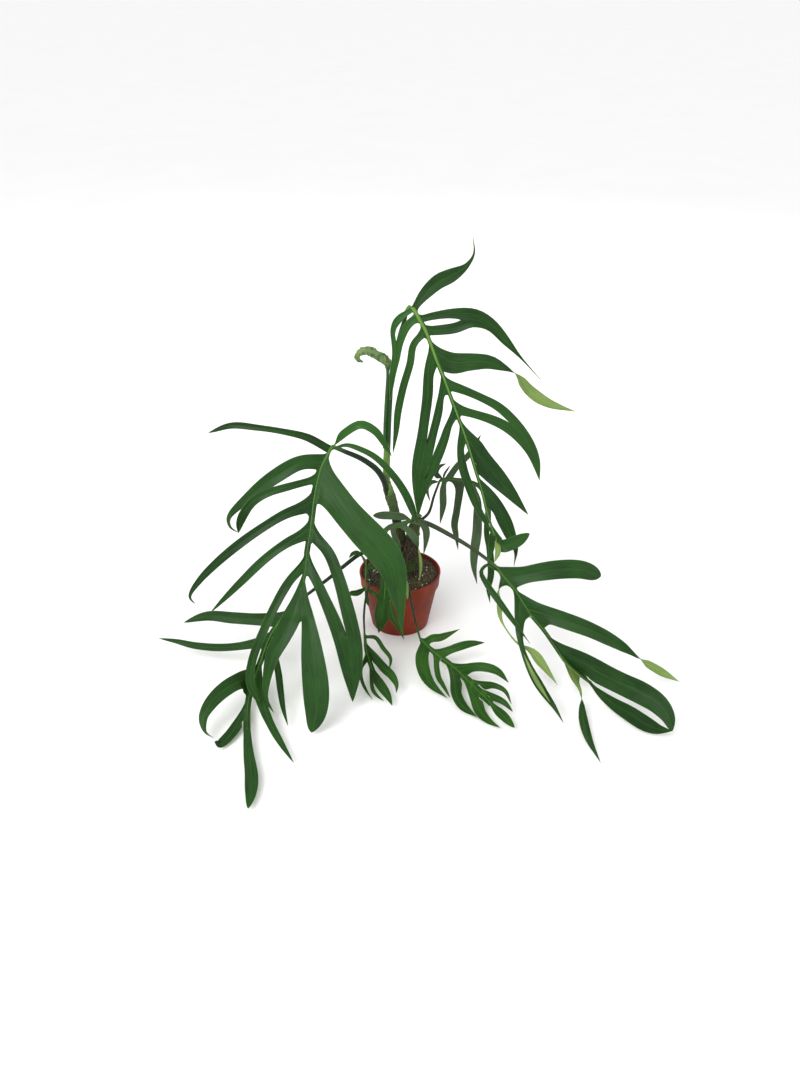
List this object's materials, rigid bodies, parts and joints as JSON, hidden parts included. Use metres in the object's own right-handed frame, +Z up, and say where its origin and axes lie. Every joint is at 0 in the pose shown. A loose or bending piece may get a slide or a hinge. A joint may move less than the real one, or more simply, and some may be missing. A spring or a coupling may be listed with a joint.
{
  "type": "potted split-leaf climbing aroid",
  "caption": "Standing house plant with long, deeply cut green leaves on arching stalks, a short old trunk and a young shoot, in a round nursery pot of terracotta-coloured plastic.",
  "frame": {"origin": "centre of the pot's flat base, on the surface that it stands on", "axes": "+Z up, +X to the right of a viewer in front of the plant, -Y towards that viewer, to whom the large leaves turn their upper faces"},
  "size_m": [0.9106, 0.576, 0.7106],
  "materials": {
    "pot_plastic": "satin",
    "potting_mix": "matte",
    "old_bark": "matte",
    "leaf": "satin",
    "young_leaf": "satin",
    "dull_leaf": "matte",
    "pale_leaf": "satin"
  },
  "bodies": {
    "root": {"pot": "pot_plastic", "soil": "potting_mix", "stem": "old_bark", "leaf_left": "leaf", "leaf_tall": "leaf", "leaf_right": "leaf", "leaf_low": "leaf", "leaf_front": "young_leaf", "leaf_hanging": "young_leaf", "leaf_back": "dull_leaf", "leaf_crown": "dull_leaf", "leaf_rim": "young_leaf", "side_shoot": "young_leaf", "new_leaf": "pale_leaf"}
  },
  "joints": []
}
